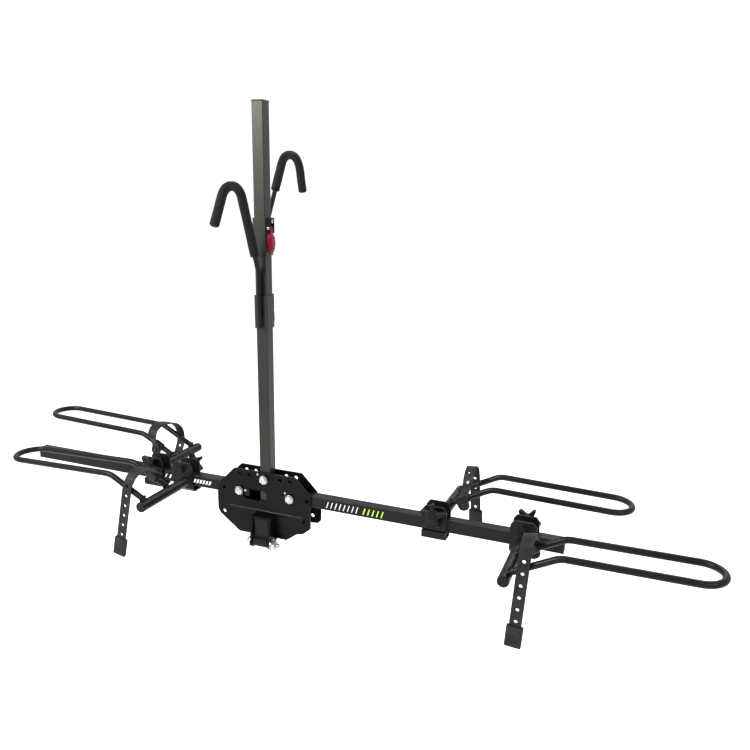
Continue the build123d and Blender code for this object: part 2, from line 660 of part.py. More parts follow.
def release_lever(hook):
    # An eye and neck between the bracket's ears, and a wide thumb paddle below them.
    face = SLEEVE / 2
    pivot_z = latch_pivot(hook)
    half = LATCH_HALF - 2.2 - 0.3
    eye = rod_y(face + 6.0, pivot_z, 3.4, -half, half)
    neck = lever_slab(
        [(face + 3.0, pivot_z), (face + 9.2, pivot_z), (face + 9.6, pivot_z - 18), (face + 3.0, pivot_z - 18)], half
    )
    paddle = lever_slab(
        [
            (face + 1.5, pivot_z - 15),
            (face + 10.0, pivot_z - 14.5),
            (face + 14.0, pivot_z - 26),
            (face + 13.5, pivot_z - 38),
            (face + 8.0, pivot_z - 51),
            (face + 3.0, pivot_z - 51),
            (face + 1.5, pivot_z - 40),
        ],
        PADDLE_HALF,
    )
    paddle = fillet(paddle.edges(), 1.4)
    lever = neck + paddle + eye - rod_y(face + 6.0, pivot_z, 1.8 + RUNNING_GAP, -half, half)
    return on_latch_face(hook, lever)


def main():
    os.makedirs("parts", exist_ok=True)
    save("shank_tube", shank_tube())
    save("shank_head", shank_head())
    save("tilt_channel", tilt_channel())
    save("tilt_bolt", tilt_bolt())
    save("hub_plate_outer", hub_plate(-1))
    save("hub_plate_inner", hub_plate(1))
    save("mast_bolt", bolt_y(0, MAST_BOLT_Z, BOLT_R, HEX_FLATS, HEX_HEIGHT, WASHER_R))
    save("arm_pivot_bolts", arm_pivot_bolts())
    save("arm_stop_spacers", arm_stop_spacers())
    save("mast_tube", mast_tube())
    save("mast_cap", mast_cap())
    for name, side in (("left", -1), ("right", 1)):
        save(f"{name}_arm_tube", arm_tube(side))
        save(f"{name}_arm_bush", arm_bush(side))
        save(f"{name}_arm_plug", arm_plug(side))
    for name in HOLDERS:
        holder_parts(name)
    for name, hook in HOOKS.items():
        save(f"{name}_hook_sleeve", hook_sleeve(hook))
        save(f"{name}_hook_rod", hook_rod(hook))
        save(f"{name}_hook_foam", hook_foam(hook))
        save(f"{name}_latch_bracket", latch_bracket(hook))
        save(f"{name}_release_lever", release_lever(hook))


main()
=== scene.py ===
import json
import math

import bmesh
import bpy
from mathutils import Matrix, Vector, noise


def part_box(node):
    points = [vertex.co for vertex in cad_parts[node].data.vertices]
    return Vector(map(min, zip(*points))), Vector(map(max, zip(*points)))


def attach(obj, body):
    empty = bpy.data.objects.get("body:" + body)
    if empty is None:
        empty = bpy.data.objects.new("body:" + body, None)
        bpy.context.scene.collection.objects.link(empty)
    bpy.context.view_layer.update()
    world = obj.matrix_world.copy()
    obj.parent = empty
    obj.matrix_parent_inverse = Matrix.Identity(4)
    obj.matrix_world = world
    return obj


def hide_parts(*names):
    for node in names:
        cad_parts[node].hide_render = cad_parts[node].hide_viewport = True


# A hitch mounted bike rack, dressed for its look.  Everything is in metres, in the frame of the packed
# model: +X along the right arm, +Y towards the car, +Z up.

MM = 0.001

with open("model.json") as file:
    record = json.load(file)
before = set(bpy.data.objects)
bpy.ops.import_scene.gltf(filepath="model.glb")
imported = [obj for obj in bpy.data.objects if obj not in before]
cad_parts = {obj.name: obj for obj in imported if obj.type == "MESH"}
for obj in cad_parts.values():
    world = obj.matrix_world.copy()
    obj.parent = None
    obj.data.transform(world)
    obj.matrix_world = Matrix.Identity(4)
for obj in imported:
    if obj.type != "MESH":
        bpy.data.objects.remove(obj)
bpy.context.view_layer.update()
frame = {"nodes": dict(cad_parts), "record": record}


# --- places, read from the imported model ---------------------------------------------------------
def middle(node):
    low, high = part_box(node)
    return (low + high) / 2


HUB = Vector((middle("mast_tube").x, middle("mast_tube").y, middle("right_arm_tube").z))


def hub(x, y, z):
    """A point given in millimetres from the crossing of the mast and the arms."""
    return HUB + Vector((x, y, z)) * MM


# --- camera, sky, floor and lights --------------------------------------------------------------
CAMERA_TURN = (21.59, 14.19, 0.89)          # yaw, pitch and roll, in degrees
CAMERA_PLACE = (778.7, -1343.7, 655.3)      # millimetres from the crossing of the mast and the arms
CAMERA_LENS = 36.16                         # millimetres, as is the sensor's width
SENSOR_WIDTH = 36.0
SKY_COLOUR = (1.0, 1.01, 1.04, 1.0)
SKY_STRENGTH = 1.08
FLOOR_HALF = 60.0                           # metres, as is the floor's height
FLOOR_Z = -0.45


def make_camera():
    yaw, pitch, roll = (math.radians(angle) for angle in CAMERA_TURN)
    back = Vector((math.sin(yaw) * math.cos(pitch), -math.cos(yaw) * math.cos(pitch), math.sin(pitch)))
    right = Vector((math.cos(yaw), math.sin(yaw), 0.0))
    up = back.cross(right)
    tilted_right = math.cos(roll) * right + math.sin(roll) * up
    tilted_up = math.cos(roll) * up - math.sin(roll) * right
    data = bpy.data.cameras.new("camera")
    data.sensor_fit = "HORIZONTAL"
    data.sensor_width = SENSOR_WIDTH
    data.lens = CAMERA_LENS
    data.clip_start, data.clip_end = 0.02, 60.0
    camera = bpy.data.objects.new("camera", data)
    turn = Matrix((tilted_right, tilted_up, back)).transposed()
    camera.matrix_world = Matrix.Translation(hub(*CAMERA_PLACE)) @ turn.to_4x4()
    bpy.context.scene.collection.objects.link(camera)
    bpy.context.scene.camera = camera


def area_light(name, place, target, size, power, colour=(1.0, 1.0, 1.0)):
    data = bpy.data.lights.new(name, "AREA")
    data.shape = "DISK"
    data.size = size
    data.energy = power
    data.color = colour
    light = bpy.data.objects.new(name, data)
    aim = (Vector(target) - Vector(place)).normalized()
    light.matrix_world = Matrix.Translation(place) @ aim.to_track_quat("-Z", "Y").to_matrix().to_4x4()
    bpy.context.scene.collection.objects.link(light)


def make_sky():
    bpy.context.scene.view_settings.view_transform = "Standard"
    world = bpy.data.worlds.new("studio")
    world.use_nodes = True
    background = world.node_tree.nodes["Background"]
    background.inputs["Color"].default_value = SKY_COLOUR
    background.inputs["Strength"].default_value = SKY_STRENGTH
    bpy.context.scene.world = world


def make_floor():
    mesh = bpy.data.meshes.new("floor")
    corners = [(x * FLOOR_HALF, y * FLOOR_HALF, FLOOR_Z) for x, y in ((-1, -1), (1, -1), (1, 1), (-1, 1))]
    mesh.from_pydata(corners, [], [(0, 1, 2, 3)])
    floor = bpy.data.objects.new("floor", mesh)
    bpy.context.scene.collection.objects.link(floor)
    paint = Shader("floor_paint")
    paint.set("Roughness", 0.9)
    paint.set("Specular IOR Level", 0.1)
    paint.colour_ramp(paint.noise(3.0, 3.0), [(0.3, (0.95, 0.95, 0.95)), (0.7, (0.97, 0.97, 0.97))])
    floor.data.materials.append(paint.material)


def make_lights():
    area_light("key", (-1.5, -2.0, 2.4), (0.0, 0.0, 0.4), 0.9, 90.0, (1.0, 0.99, 0.95))
    area_light("mast_softbox", (-0.85, -1.45, 1.3), (0.0, -0.1, 0.85), 0.6, 40.0, (0.97, 1.0, 0.8))
    area_light("fill", (2.4, -1.2, 1.6), (0.2, 0.0, 0.2), 1.2, 30.0)
    area_light("back", (0.6, 2.4, 2.4), (0.0, 0.0, 0.3), 1.4, 35.0)


# --- materials ----------------------------------------------------------------------------------
class Shader:
    """A node material built from a Principled BSDF and textures in object coordinates, in metres."""

    def __init__(self, name):
        self.material = bpy.data.materials.new(name)
        self.material.use_nodes = True
        self.tree = self.material.node_tree
        self.bsdf = self.tree.nodes["Principled BSDF"]
        self.position = self.add("ShaderNodeTexCoord").outputs["Object"]

    def add(self, kind, **settings):
        node = self.tree.nodes.new(kind)
        for key, value in settings.items():
            setattr(node, key, value)
        return node

    def link(self, source, target):
        self.tree.links.new(source, target)

    def set(self, socket, value):
        self.bsdf.inputs[socket].default_value = value

    def noise(self, scale, detail=2.0, roughness=0.5, stretch=None):
        node = self.add("ShaderNodeTexNoise")
        node.inputs["Scale"].default_value = scale
        node.inputs["Detail"].default_value = detail
        node.inputs["Roughness"].default_value = roughness
        place = self.position
        if stretch:
            mapping = self.add("ShaderNodeMapping")
            mapping.inputs["Scale"].default_value = stretch
            self.link(place, mapping.inputs["Vector"])
            place = mapping.outputs["Vector"]
        self.link(place, node.inputs["Vector"])
        return node.outputs["Fac"]

    def cells(self, scale, feature="F1"):
        node = self.add("ShaderNodeTexVoronoi", feature=feature)
        node.inputs["Scale"].default_value = scale
        self.link(self.position, node.inputs["Vector"])
        return node.outputs["Distance"]

    def ramp(self, value, stops):
        node = self.add("ShaderNodeValToRGB")
        elements = node.color_ramp.elements
        while len(elements) > len(stops):
            elements.remove(elements[-1])
        while len(elements) < len(stops):
            elements.new(1.0)
        for element, (place, colour) in zip(elements, stops):
            element.position = place
            element.color = (*colour, 1.0)
        self.link(value, node.inputs["Fac"])
        return node.outputs["Color"]

    def colour_ramp(self, value, stops):
        self.link(self.ramp(value, stops), self.bsdf.inputs["Base Color"])

    def span(self, value, low, high, start=0.3, stop=0.7):
        node = self.add("ShaderNodeMapRange")
        node.inputs["From Min"].default_value = start
        node.inputs["From Max"].default_value = stop
        node.inputs["To Min"].default_value = low
        node.inputs["To Max"].default_value = high
        self.link(value, node.inputs["Value"])
        return node.outputs["Result"]

    def roughness(self, value, low, high):
        self.link(self.span(value, low, high), self.bsdf.inputs["Roughness"])

    def maths(self, operation, a, b):
        node = self.add("ShaderNodeMath", operation=operation, use_clamp=True)
        for socket, value in zip(node.inputs, (a, b)):
            if isinstance(value, (int, float)):
                socket.default_value = value
            else:
                self.link(value, socket)
        return node.outputs["Value"]

    def mix(self, amount, a, b):
        node = self.add("ShaderNodeMix", data_type="RGBA")
        self.link(amount, node.inputs[0])
        for socket, value in ((node.inputs[6], a), (node.inputs[7], b)):
            if isinstance(value, tuple):
                socket.default_value = (*value, 1.0)
            else:
                self.link(value, socket)
        return node.outputs[2]

    def edges(self, radius):
        """How near a hard edge a point is, 0 to 1, and a normal that rounds such edges."""
        bevel = self.add("ShaderNodeBevel", samples=4)
        bevel.inputs["Radius"].default_value = radius
        geometry = self.add("ShaderNodeNewGeometry")
        dot = self.add("ShaderNodeVectorMath", operation="DOT_PRODUCT")
        self.link(bevel.outputs["Normal"], dot.inputs[0])
        self.link(geometry.outputs["Normal"], dot.inputs[1])
        return self.span(dot.outputs["Value"], 1.0, 0.0, 0.75, 0.99), bevel.outputs["Normal"]

    def bump(self, height, strength, distance, normal=None):
        node = self.add("ShaderNodeBump")
        node.inputs["Strength"].default_value = strength
        node.inputs["Distance"].default_value = distance
        self.link(height, node.inputs["Height"])
        if normal is not None:
            self.link(normal, node.inputs["Normal"])
        self.link(node.outputs["Normal"], self.bsdf.inputs["Normal"])
        return node.outputs["Normal"]


BARE_EDGE = (0.07, 0.07, 0.073)


def powder_coat(name, dark, light, rough, edge_wear=0.35, specular=0.11):
    """Black powder coat: orange peel, cloudy sheen, and a thin paler line where edges have rubbed."""
    paint = Shader(name)
    cloud = paint.noise(9.0, 4.0)
    fleck = paint.noise(900.0, 2.0)
    shares = paint.maths("MULTIPLY", cloud, 0.7), paint.maths("MULTIPLY", fleck, 0.3)
    tone = paint.ramp(paint.maths("ADD", *shares), [(0.35, dark), (0.68, light)])
    near_edge, rounded = paint.edges(0.7 * MM)
    scuffed = paint.span(paint.noise(160.0, 3.0), 0.0, edge_wear, 0.42, 0.62)
    worn = paint.maths("MULTIPLY", near_edge, scuffed)
    paint.link(paint.mix(worn, tone, BARE_EDGE), paint.bsdf.inputs["Base Color"])
    paint.roughness(paint.noise(420.0, 3.0), rough - 0.07, rough + 0.1)
    paint.bump(paint.noise(1300.0, 2.0), 0.22, 0.12 * MM, rounded)
    paint.set("Specular IOR Level", specular)
    return paint.material


def zinc_plate(name, tint=(0.47, 0.475, 0.485)):
    """Bright zinc: brushed grain and cloudy passivation."""
    metal = Shader(name)
    metal.set("Metallic", 1.0)
    cloud = metal.noise(220.0, 4.0)
    dull = tuple(0.5 * c for c in tint)
    metal.colour_ramp(cloud, [(0.3, dull), (0.6, tint)])
    metal.roughness(metal.noise(700.0, 3.0), 0.2, 0.42)
    rounded = metal.edges(0.35 * MM)[1]
    metal.bump(metal.noise(1800.0, 2.0, stretch=(1.0, 0.15, 1.0)), 0.12, 0.05 * MM, rounded)
    return metal.material


def moulded_plastic(name, dark, light, rough=0.5):
    """Moulded plastic with a fine spark-eroded grain."""
    plastic = Shader(name)
    plastic.colour_ramp(plastic.noise(60.0, 4.0), [(0.3, dark), (0.7, light)])
    plastic.roughness(plastic.noise(500.0, 3.0), rough - 0.08, rough + 0.1)
    rounded = plastic.edges(0.6 * MM)[1]
    plastic.set("Specular IOR Level", 0.12)
    plastic.bump(plastic.cells(1500.0), 0.15, 0.08 * MM, rounded)
    return plastic.material


def foam_skin(name):
    """Closed-cell foam: matt, with open pore cells and shallow dents; each pore is painted darker in its pit,
    as painted shade.
    """
    foam = Shader(name)
    pore_pits_and_shade = foam.cells(900.0)
    # The colour is darkest in each pore's pit: painted shade.
    foam.colour_ramp(pore_pits_and_shade, [(0.05, (0.0012, 0.0012, 0.0016)), (0.45, (0.0052, 0.0056, 0.0066))])
    foam.roughness(foam.noise(120.0, 3.0), 0.62, 0.85)
    shares = foam.maths("MULTIPLY", pore_pits_and_shade, 0.6), foam.maths("MULTIPLY", foam.noise(260.0, 3.0), 0.5)
    foam.bump(foam.maths("ADD", *shares), 0.5, 0.35 * MM)
    foam.set("Specular IOR Level", 0.1)
    foam.set("Sheen Weight", 0.012)
    foam.set("Sheen Roughness", 0.5)
    return foam.material


def strap_rubber(name):
    """Weathered grey-brown rubber with a chalky bloom."""
    rubber = Shader(name)
    bloom = rubber.noise(45.0, 5.0, 0.6)
    rubber.colour_ramp(bloom, [(0.3, (0.0045, 0.0043, 0.0042)), (0.72, (0.015, 0.0142, 0.0136))])
    rubber.roughness(rubber.noise(260.0, 3.0), 0.5, 0.74)
    rounded = rubber.edges(0.5 * MM)[1]
    rubber.set("Specular IOR Level", 0.16)
    rubber.bump(rubber.noise(1100.0, 3.0), 0.3, 0.1 * MM, rounded)
    return rubber.material


def nylon(name):
    """Off-white nylon, faintly mottled."""
    bush = Shader(name)
    bush.colour_ramp(bush.noise(80.0, 3.0), [(0.3, (0.6, 0.59, 0.55)), (0.7, (0.75, 0.74, 0.7))])
    bush.roughness(bush.noise(300.0, 2.0), 0.35, 0.5)
    bush.bump(bush.noise(900.0, 2.0), 0.1, 0.05 * MM)
    return bush.material


MATERIALS = {
    "black_steel": powder_coat("powder_coat_black", (0.0022, 0.0024, 0.0026), (0.0062, 0.0066, 0.0064), 0.36),
    # A paler, olive copy of the black coat for the mast and its sleeves: painted light, on a glossier finish.
    "mast_steel_painted_lit": powder_coat("powder_coat_mast_painted_lit", (0.003, 0.0034, 0.0028), (0.008, 0.0086, 0.0066), 0.4,
                              specular=0.3),
    # A darker copy of the black coat for the hub's plates and tilt channel: painted shade.
    "hub_steel_painted_shade": powder_coat("powder_coat_hub_painted_shade", (0.0012, 0.0012, 0.0014), (0.0034, 0.0034, 0.0038), 0.3,
                             specular=0.07),
    "zinc_hardware": zinc_plate("zinc_plate"),
    "latch_steel": powder_coat("latch_black", (0.0018, 0.0018, 0.002), (0.004, 0.004, 0.004), 0.32),
    "black_plastic": moulded_plastic("plastic_black", (0.0022, 0.0022, 0.0024), (0.006, 0.006, 0.0063), 0.42),
    "nylon": nylon("nylon_natural"),
    "hook_foam": foam_skin("foam_black"),
    "strap_rubber": strap_rubber("rubber_weathered"),
    "stripe_white": moulded_plastic("film_white", (0.5, 0.51, 0.5), (0.66, 0.66, 0.65), 0.5),
    "stripe_lime": moulded_plastic("film_lime", (0.32, 0.5, 0.05), (0.42, 0.62, 0.08), 0.5),
    "red_plastic": moulded_plastic("plastic_red", (0.098, 0.0012, 0.0083), (0.172, 0.0023, 0.015), 0.42),
}


# Parts of the slot black_steel that get a lit or a shaded copy of its coat: the mast and its sleeves get a
# paler, olive copy that is painted light, and the hub's plates and tilt channel get a darker copy that is
# painted shade.
LOOKS = {
    "mast_tube": "mast_steel_painted_lit",
    "upper_hook_sleeve": "mast_steel_painted_lit",
    "lower_hook_sleeve": "mast_steel_painted_lit",
    "hub_plate_outer": "hub_steel_painted_shade",
    "hub_plate_inner": "hub_steel_painted_shade",
    "tilt_channel": "hub_steel_painted_shade",
}
SLOT_OF = {row["node"]: row["material_slot"] for row in frame["record"]["subparts"]}


def dress_frame():
    for name, obj in frame["nodes"].items():
        look = LOOKS.get(name, SLOT_OF[name])
        for held in obj.material_slots:
            held.material = MATERIALS[look]


# --- mesh building ------------------------------------------------------------------------------
X, Y, Z = Vector((1, 0, 0)), Vector((0, 1, 0)), Vector((0, 0, 1))


class Build:
    """Points and faces of one piece, in metres."""

    def __init__(self):
        self.points = []
        self.faces = []

    def ring(self, points):
        first = len(self.points)
        self.points += points
        return list(range(first, len(self.points)))

    def loft(self, rings, capped=True):
        """A skin over rings of equal length, closed by end caps or back onto its first ring."""
        loops = [self.ring(points) for points in rings]
        pairs = list(zip(loops, loops[1:]))
        if not capped:
            pairs.append((loops[-1], loops[0]))
        for low, high in pairs:
            for i, corner in enumerate(low):
                after = (i + 1) % len(low)
                self.faces.append((corner, low[after], high[after], high[i]))
        if capped:
            self.faces += [tuple(reversed(loops[0])), tuple(loops[-1])]

    def turned(self, place, axis, stations, outline=None, segments=32):
        """A turned solid; an outline, a radius for each angle, trims it to a hexagon or another shape."""
        out, across = square_to(axis)
        rings = []
        for along, radius in stations:
            ring = []
            for i in range(segments):
                angle = math.tau * i / segments
                reach = radius if outline is None else min(radius, outline(angle))
                ray = math.cos(angle) * out + math.sin(angle) * across
                ring.append(place + (axis * along + ray * reach) * MM)
            rings.append(ring)
        self.loft(rings)

    def make(self, name, body, slot, replaced=(), bevel=0.0, smooth=35.0):
        mesh = bpy.data.meshes.new(name)
        mesh.from_pydata([tuple(p) for p in self.points], [], self.faces)
        work = bmesh.new()
        work.from_mesh(mesh)
        bmesh.ops.recalc_face_normals(work, faces=work.faces)
        for face in work.faces:
            face.smooth = True
        for edge in work.edges:
            edge.smooth = edge.is_manifold and edge.calc_face_angle(0.0) < math.radians(smooth)
        work.to_mesh(mesh)
        work.free()
        piece = bpy.data.objects.new(name, mesh)
        bpy.context.scene.collection.objects.link(piece)
        mesh.materials.append(MATERIALS[slot])
        if bevel:
            rounding = piece.modifiers.new("rounding", "BEVEL")
            rounding.width = bevel * MM
            rounding.segments = 2
            rounding.limit_method = "ANGLE"
            rounding.angle_limit = math.radians(50.0)
        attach(piece, body)
        if replaced:
            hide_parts(*replaced)
        return piece


def square_to(axis):
    """Two unit vectors square to an axis and to each other."""
    helper = Z if abs(axis.z) < 0.9 else X
    out = helper.cross(axis).normalized()
    return out, axis.cross(out)


def rounded_path(points, cuts, step=1.5):
    """Points along straight runs joined by true arcs; a cut is how far an arc starts from its corner."""
    path = [points[0]]
    for before, corner, after, cut in zip(points, points[1:], points[2:], cuts):
        back, ahead = (before - corner).normalized(), (after - corner).normalized()
        half = back.angle(ahead) / 2
        radius = cut * math.tan(half)
        centre = corner + (back + ahead).normalized() * (cut / math.cos(half))
        first, last = corner + back * cut - centre, corner + ahead * cut - centre
        turn = first.angle(last)
        count = max(3, int(radius * turn / step))
        for i in range(count + 1):
            share = i / count
            ray = (math.sin((1 - share) * turn) * first + math.sin(share * turn) * last) / math.sin(turn)
            path.append(centre + ray)
    path.append(points[-1])
    return path


class Line:
    """A path measured by length, in millimetres."""

    def __init__(self, points):
        self.points = [points[0]]
        for point in points[1:]:
            if (point - self.points[-1]).length > 0.02:
                self.points.append(point)
        self.lengths = [0.0]
        for a, b in zip(self.points, self.points[1:]):
            self.lengths.append(self.lengths[-1] + (b - a).length)
        self.length = self.lengths[-1]

    def at(self, along):
        along = min(max(along, 0.0), self.length)
        i = 1
        while i < len(self.points) - 1 and self.lengths[i] < along:
            i += 1
        run = self.lengths[i] - self.lengths[i - 1]
        return self.points[i - 1].lerp(self.points[i], (along - self.lengths[i - 1]) / run)

    def heading(self, along, reach=1.2):
        return (self.at(along + reach) - self.at(along - reach)).normalized()


def squared(value, power):
    """A cosine or sine, pushed outwards so that its circle becomes a rounded box."""
    return math.copysign(abs(value) ** power, value)


def hexagon(flats):
    def reach(angle):
        return flats / 2 / math.cos((angle + math.pi / 6) % (math.pi / 3) - math.pi / 6)
    return reach


def bead(build, points, closed, thick, seed):
    """A weld bead: a low ridge whose thickness ripples the way a torch leaves it."""
    line = Line(points)
    step, pitch, sides = 0.8, 2.6, 8
    count = max(8, int(line.length / step))
    rings = []
    for i in range(count + (0 if closed else 1)):
        along = line.length * i / count
        ahead = line.heading(along, step)
        if closed:
            after, before = line.at((along + step) % line.length), line.at((along - step) % line.length)
            ahead = (after - before).normalized()
        out, across = square_to(ahead)
        wobble = noise.noise(Vector((along * 0.3, seed, 0.0)))
        ripple = 1.0 + 0.16 * math.sin(along * math.tau / pitch) + 0.12 * wobble
        if not closed and i in (0, count):
            ripple *= 0.35
        ring = []
        for k in range(sides):
            angle = math.tau * k / sides
            ray = math.cos(angle) * out + math.sin(angle) * across
            ring.append(HUB + (line.at(along) + ray * thick * ripple) * MM)
        rings.append(ring)
    build.loft(rings, capped=not closed)


def circle(centre, axis, radius, count=64):
    out, across = square_to(axis)
    turns = [math.tau * i / count for i in range(count + 1)]
    return [centre + (math.cos(a) * out + math.sin(a) * across) * radius for a in turns]


# --- frame hooks --------------------------------------------------------------------------------
FOAM_R = 9.0
HOOK_ROD_R = 4.7
LATCH_PIN_DROP = 20.0      # the lever's pivot, down from the sleeve's top
LATCH_PIN_OUT = 21.0       # and out from the mast's middle
EYELET_DROP = 6.5
EYELET_OUT = 25.0
LATCH_EAR_HALF = 9.0
WELD_ACROSS = 3.6          # a hook's weld beads, to each side of its rod
WELD_OUT = 15.6            # and out from the mast's middle

# Which side of the mast a hook is on, its rod's corners as (out from the mast, height) and their radii,
# where its foam starts, the heights of its sleeve's ends, and the way its latch faces.
HOOKS = {
    "upper": {
        "side": 1,
        "path": [(19.8, 517.0), (19.8, 581.0), (92.5, 712.5), (155.9, 712.5), (176.0, 638.0)],
        "radii": [30.0, 40.0, 40.0],
        "foam_from": (56.0, 640.0),
        "sleeve": (513.0, 588.0),
        "latch": X,
    },
    "lower": {
        "side": -1,
        "path": [(19.8, 368.0), (19.8, 477.0), (83.5, 648.3), (134.0, 648.3), (171.5, 580.0)],
        "radii": [30.0, 35.0, 35.0],
        "foam_from": (36.0, 513.0),
        "sleeve": (365.0, 433.0),
        "latch": Y,
    },
}


def hook_line(hook):
    points = [Vector((0, hook["side"] * y, z)) for y, z in hook["path"]]
    cuts = []
    for before, corner, after, radius in zip(points, points[1:], points[2:], hook["radii"]):
        turn = (corner - before).angle(after - corner)
        cuts.append(radius * math.tan(turn / 2))
    return Line(rounded_path(points, cuts))


def foam_cover(name, hook):
    """A closed-cell foam sleeve: square-cut at its lower end, domed at its tip, creased inside its bends."""
    line = hook_line(hook)
    y, z = hook["foam_from"]
    goal = Vector((0, hook["side"] * y, z))
    first = min((line.length * i / 400 for i in range(400)), key=lambda s: (line.at(s) - goal).length)
    last = line.length + 2.5
    segments, step, dome = 40, 0.9, 3.6
    count = int((last - first) / step)
    rings = []
    for i in range(count + 1):
        along = first + (last - first) * i / count
        past = max(0.0, along - line.length)
        heading = line.heading(along, 2.5)
        centre = line.at(along) + heading * past
        bend = line.heading(along + 5.0).cross(line.heading(along - 5.0))
        inner = heading.cross(X) * (1 if bend.x > 0 else -1)
        edge = min(1.0, (along - first) / 1.6)
        end = max(0.0, along - (last - dome)) / dome
        radius = FOAM_R * (0.88 + 0.12 * math.sqrt(1 - (1 - edge) ** 2)) * math.sqrt(max(0.02, 1 - end * end))
        ring = []
        for k in range(segments):
            angle = math.tau * k / segments
            ray = math.cos(angle) * X + math.sin(angle) * heading.cross(X)
            facing = max(0.0, ray.dot(inner))
            crease = bend.length * facing ** 3 * 0.9 * (0.5 + 0.5 * math.sin(along * math.tau / 5.5))
            skin = centre + ray * radius
            dent = 0.28 * noise.noise(skin * 0.05) + 0.1 * noise.noise(skin * 0.3)
            ring.append(HUB + (centre + ray * (radius - crease + dent * (1 - end))) * MM)
        rings.append(ring)
    tube_end = []
    heading = line.heading(first, 2.5)
    for k in range(segments):
        angle = math.tau * k / segments
        ray = math.cos(angle) * X + math.sin(angle) * heading.cross(X)
        tube_end.append(HUB + (line.at(first + 0.4) + ray * (HOOK_ROD_R + 0.3)) * MM)
    build = Build()
    build.loft([tube_end] + rings)
    piece = build.make(f"{name}_foam_cover", f"{name}_hook", "hook_foam", [f"{name}_hook_foam"], smooth=60.0)


def latch_middle(name, across):
    """How far a latch sits to the side of the mast's middle."""
    return (middle(f"{name}_latch_bracket") - HUB).dot(across) / MM


# Sections down the lever: below the sleeve's top, inner face, outer face, half width.
LEVER_SECTIONS = [
    (-16.6, 19.5, 22.5, 3.0), (-17.6, 18.2, 24.0, 6.0), (-24.0, 18.0, 24.4, 6.4), (-32.5, 17.6, 24.8, 6.4),
    (-35.0, 16.9, 26.0, 8.2), (-38.0, 16.6, 27.4, 9.3), (-46.0, 16.6, 29.0, 9.5), (-56.0, 16.7, 28.7, 9.4),
    (-63.0, 17.2, 26.8, 8.6), (-68.0, 18.0, 24.6, 6.9), (-70.4, 19.2, 22.6, 4.0),
]
LEVER_RIBS = (-62.0, -40.0)
LEVER_RIB_PITCH = 4.4
LEVER_RIB_DEPTH = 0.9


def release_lever(name, hook):
    """A moulded lever: a narrow neck between the bracket's ears, then a wide ribbed thumb paddle."""
    out = hook["latch"]
    across = Z.cross(out)
    shift = latch_middle(name, across)
    top = hook["sleeve"][1]
    sections = LEVER_SECTIONS
    rings = []
    count, sides, power = 84, 32, 0.55
    for i in range(count + 1):
        down = sections[0][0] + (sections[-1][0] - sections[0][0]) * i / count
        k = 0
        while k < len(sections) - 2 and sections[k + 1][0] > down:
            k += 1
        low, high = sections[k], sections[k + 1]
        share = (down - low[0]) / (high[0] - low[0])
        inner, outer, wide = (low[j] + (high[j] - low[j]) * share for j in (1, 2, 3))
        if LEVER_RIBS[0] < down < LEVER_RIBS[1]:
            wave = math.cos((down - LEVER_RIBS[1]) * math.tau / LEVER_RIB_PITCH)
            outer -= LEVER_RIB_DEPTH * (0.5 + 0.5 * wave)
        ring = []
        for turn in range(sides):
            angle = math.tau * turn / sides
            side = squared(math.cos(angle), power) * wide
            front = (inner + outer) / 2 + squared(math.sin(angle), power) * (outer - inner) / 2
            ring.append(HUB + (out * front + across * (shift + side) + Z * (top + down)) * MM)
        rings.append(ring)
    build = Build()
    build.loft(rings)
    build.make(f"{name}_lever_paddle", f"{name}_lever", "red_plastic", [f"{name}_release_lever"], smooth=40.0)


def latch_pins(name, hook):
    """Peened ends of the lever's pivot pin, and the eyelet above it."""
    out = hook["latch"]
    across = Z.cross(out)
    shift = latch_middle(name, across)
    top = hook["sleeve"][1]
    build = Build()
    for way in (-1, 1):
        ear = out * LATCH_PIN_OUT + across * (shift + way * LATCH_EAR_HALF) + Z * (top - LATCH_PIN_DROP)
        place = HUB + ear * MM
        build.turned(place, across * way, [(0.0, 3.0), (0.7, 3.0), (1.3, 2.4), (1.6, 1.2)], segments=20)
    place = HUB + (out * EYELET_OUT + across * shift + Z * (top - EYELET_DROP)) * MM
    build.turned(place, out, [(0.0, 3.9), (0.9, 3.9), (1.3, 3.3), (1.3, 2.2), (0.2, 2.0)], segments=24)
    build.make(f"{name}_latch_pins", f"{name}_hook", "zinc_hardware")


def hook_welds(name, hook):
    """The rod is welded along the sleeve on both sides."""
    low, high = hook["sleeve"]
    build = Build()
    for way in (-1, 1):
        for first, last in ((low + 4.0, low + 26.0), (high - 24.0, high - 3.0)):
            heights = (first, (first + last) / 2, last)
            run = [Vector((way * WELD_ACROSS, hook["side"] * WELD_OUT, z)) for z in heights]
            bead(build, run, False, 1.7, seed=first)
    build.make(f"{name}_hook_welds", f"{name}_hook", "black_steel", smooth=60.0)


# --- fasteners ----------------------------------------------------------------------------------
HEX_CORNER = 0.5774        # a hexagon's corner radius, for each millimetre across its flats
WASHER_T = 1.5
THREAD_PITCH = 1.0
THREAD_DEPTH = 0.55


